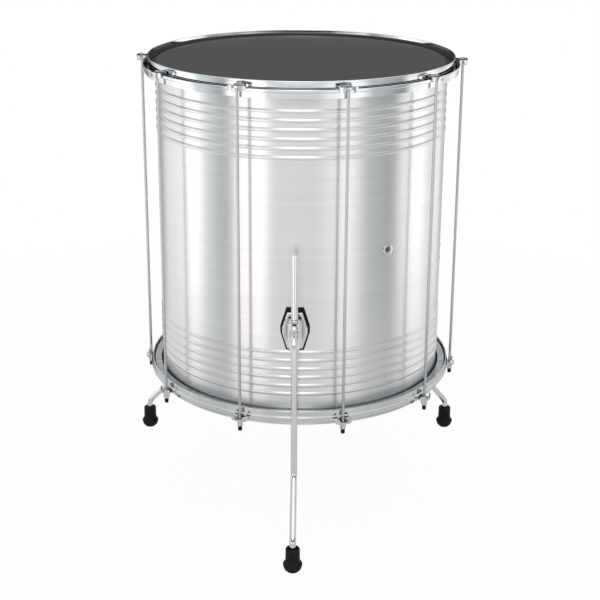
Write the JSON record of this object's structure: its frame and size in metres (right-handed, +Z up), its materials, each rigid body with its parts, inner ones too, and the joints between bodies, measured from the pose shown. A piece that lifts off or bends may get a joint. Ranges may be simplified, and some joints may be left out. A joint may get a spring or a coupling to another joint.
{
  "type": "floor surdo",
  "caption": "Large cylindrical samba bass drum: ribbed metal shell, two heads in metal hoops drawn together by long tension rods, on sliding angled legs with rubber feet.",
  "frame": {"origin": "middle of the outer box, on the floor under the feet", "axes": "+Z up along the drum's axis, the front leg towards -Y"},
  "size_m": [0.7052, 0.7178, 0.8892],
  "materials": {
    "shell_metal": "bright, faintly spun",
    "chrome": "polished",
    "head_film": "matte",
    "rubber": "matte"
  },
  "bodies": {
    "drum": {"shell": "shell_metal", "upper_hoop": "chrome", "upper_head": "head_film", "lower_hoop": "chrome", "lower_head": "head_film", "gasket_front": "rubber", "gasket_right": "rubber", "gasket_left": "rubber", "leg_bracket_front": "chrome", "leg_bracket_right": "chrome", "leg_bracket_left": "chrome", "upper_claw_01": "chrome", "upper_claw_02": "chrome", "upper_claw_03": "chrome", "upper_claw_04": "chrome", "upper_claw_05": "chrome", "upper_claw_06": "chrome", "upper_claw_07": "chrome", "upper_claw_08": "chrome", "upper_claw_09": "chrome", "upper_claw_10": "chrome", "lower_claw_01": "chrome", "lower_claw_02": "chrome", "lower_claw_03": "chrome", "lower_claw_04": "chrome", "lower_claw_05": "chrome", "lower_claw_06": "chrome", "lower_claw_07": "chrome", "lower_claw_08": "chrome", "lower_claw_09": "chrome", "lower_claw_10": "chrome", "tension_rod_01": "chrome", "tension_rod_02": "chrome", "tension_rod_03": "chrome", "tension_rod_04": "chrome", "tension_rod_05": "chrome", "tension_rod_06": "chrome", "tension_rod_07": "chrome", "tension_rod_08": "chrome", "tension_rod_09": "chrome", "tension_rod_10": "chrome"},
    "leg_front_body": {"leg_front": "chrome", "foot_front": "rubber"},
    "wing_screw_front_body": {"wing_screw_front": "chrome"},
    "leg_right_body": {"leg_right": "chrome", "foot_right": "rubber"},
    "wing_screw_right_body": {"wing_screw_right": "chrome"},
    "leg_left_body": {"leg_left": "chrome", "foot_left": "rubber"},
    "wing_screw_left_body": {"wing_screw_left": "chrome"},
    "tension_nut_01_body": {"tension_nut_01": "chrome"},
    "tension_nut_02_body": {"tension_nut_02": "chrome"},
    "tension_nut_03_body": {"tension_nut_03": "chrome"},
    "tension_nut_04_body": {"tension_nut_04": "chrome"},
    "tension_nut_05_body": {"tension_nut_05": "chrome"},
    "tension_nut_06_body": {"tension_nut_06": "chrome"},
    "tension_nut_07_body": {"tension_nut_07": "chrome"},
    "tension_nut_08_body": {"tension_nut_08": "chrome"},
    "tension_nut_09_body": {"tension_nut_09": "chrome"},
    "tension_nut_10_body": {"tension_nut_10": "chrome"}
  },
  "joints": [
    {"name": "leg_front_slide", "type": "slide", "parent": "drum", "child": "leg_front_body", "axis": [0, 0, 1], "range_m": [-0.115, 0.235]},
    {"name": "wing_screw_front_turn", "type": "hinge", "parent": "drum", "child": "wing_screw_front_body", "pos_m": [0.02092, -0.27548, 0.4375], "axis": [0.0192, -0.9998, 0], "continuous": true},
    {"name": "leg_right_slide", "type": "slide", "parent": "drum", "child": "leg_right_body", "axis": [0, 0, 1], "range_m": [-0.115, 0.235]},
    {"name": "wing_screw_right_turn", "type": "hinge", "parent": "drum", "child": "wing_screw_right_body", "pos_m": [0.29715, 0.22492, 0.4375], "axis": [0.8563, 0.5165, 0], "continuous": true},
    {"name": "leg_left_slide", "type": "slide", "parent": "drum", "child": "leg_left_body", "axis": [0, 0, 1], "range_m": [-0.115, 0.235]},
    {"name": "wing_screw_left_turn", "type": "hinge", "parent": "drum", "child": "wing_screw_left_body", "pos_m": [-0.27432, 0.21394, 0.4375], "axis": [-0.8755, 0.4833, 0], "continuous": true},
    {"name": "tension_nut_01_turn", "type": "hinge", "parent": "drum", "child": "tension_nut_01_body", "pos_m": [0.11016, -0.2397, 0.24215], "axis": [0, 0, 1], "continuous": true},
    {"name": "tension_nut_02_turn", "type": "hinge", "parent": "drum", "child": "tension_nut_02_body", "pos_m": [0.26481, -0.12734, 0.24215], "axis": [0, 0, 1], "continuous": true},
    {"name": "tension_nut_03_turn", "type": "hinge", "parent": "drum", "child": "tension_nut_03_body", "pos_m": [0.32388, 0.05446, 0.24215], "axis": [0, 0, 1], "continuous": true},
    {"name": "tension_nut_04_turn", "type": "hinge", "parent": "drum", "child": "tension_nut_04_body", "pos_m": [0.26481, 0.23626, 0.24215], "axis": [0, 0, 1], "continuous": true},
    {"name": "tension_nut_05_turn", "type": "hinge", "parent": "drum", "child": "tension_nut_05_body", "pos_m": [0.11016, 0.34862, 0.24215], "axis": [0, 0, 1], "continuous": true},
    {"name": "tension_nut_06_turn", "type": "hinge", "parent": "drum", "child": "tension_nut_06_body", "pos_m": [-0.08099, 0.34862, 0.24215], "axis": [0, 0, 1], "continuous": true},
    {"name": "tension_nut_07_turn", "type": "hinge", "parent": "drum", "child": "tension_nut_07_body", "pos_m": [-0.23564, 0.23626, 0.24215], "axis": [0, 0, 1], "continuous": true},
    {"name": "tension_nut_08_turn", "type": "hinge", "parent": "drum", "child": "tension_nut_08_body", "pos_m": [-0.29472, 0.05446, 0.24215], "axis": [0, 0, 1], "continuous": true},
    {"name": "tension_nut_09_turn", "type": "hinge", "parent": "drum", "child": "tension_nut_09_body", "pos_m": [-0.23564, -0.12734, 0.24215], "axis": [0, 0, 1], "continuous": true},
    {"name": "tension_nut_10_turn", "type": "hinge", "parent": "drum", "child": "tension_nut_10_body", "pos_m": [-0.08099, -0.2397, 0.24215], "axis": [0, 0, 1], "continuous": true}
  ]
}
